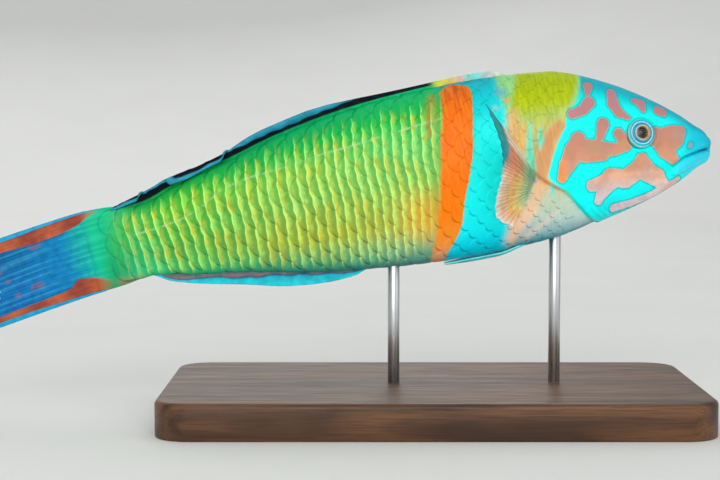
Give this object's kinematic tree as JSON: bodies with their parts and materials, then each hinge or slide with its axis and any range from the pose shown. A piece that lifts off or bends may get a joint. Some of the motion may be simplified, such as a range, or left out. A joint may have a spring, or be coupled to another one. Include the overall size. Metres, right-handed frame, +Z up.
{
  "type": "ornate wrasse",
  "caption": "Life-size still model of a male ornate wrasse, swimming, held over a flat wooden base by short steel rods.",
  "frame": {"origin": "centre of the base's underside", "axes": "+X towards the snout, +Y to the fish's left side, +Z up; the base's underside faces -Z"},
  "size_m": [0.2059, 0.072, 0.0888],
  "materials": {
    "head_skin": "smooth, moist skin: cyan ground with salmon patches",
    "scaled_skin": "overlapping scales: green with yellow upright lines, an orange bar and a cyan bar",
    "eye": "clear domed eye over a ringed iris",
    "dorsal_fin": "rayed skin, navy with a light blue edge",
    "lower_fins": "rayed skin, cyan with a reddish base",
    "tail_fin": "rayed skin, blue between brown-orange lobes",
    "pectoral_fins": "clear rayed skin, orange rays and a dark teal tip",
    "walnut": "oiled walnut, satin",
    "rod_steel": "brushed along the rod"
  },
  "bodies": {
    "root": {"head": "head_skin", "lower_jaw": "head_skin", "gill_cover_left": "head_skin", "gill_cover_right": "head_skin", "trunk": "scaled_skin", "tail": "scaled_skin", "eye_left": "eye", "eye_right": "eye", "dorsal_fin": "dorsal_fin", "anal_fin": "lower_fins", "caudal_fin": "tail_fin", "pectoral_fin_left": "pectoral_fins", "pectoral_fin_right": "pectoral_fins", "pelvic_fin_left": "lower_fins", "pelvic_fin_right": "lower_fins", "stand_base": "walnut", "stand_rod_front": "rod_steel", "stand_rod_rear": "rod_steel"}
  },
  "joints": []
}
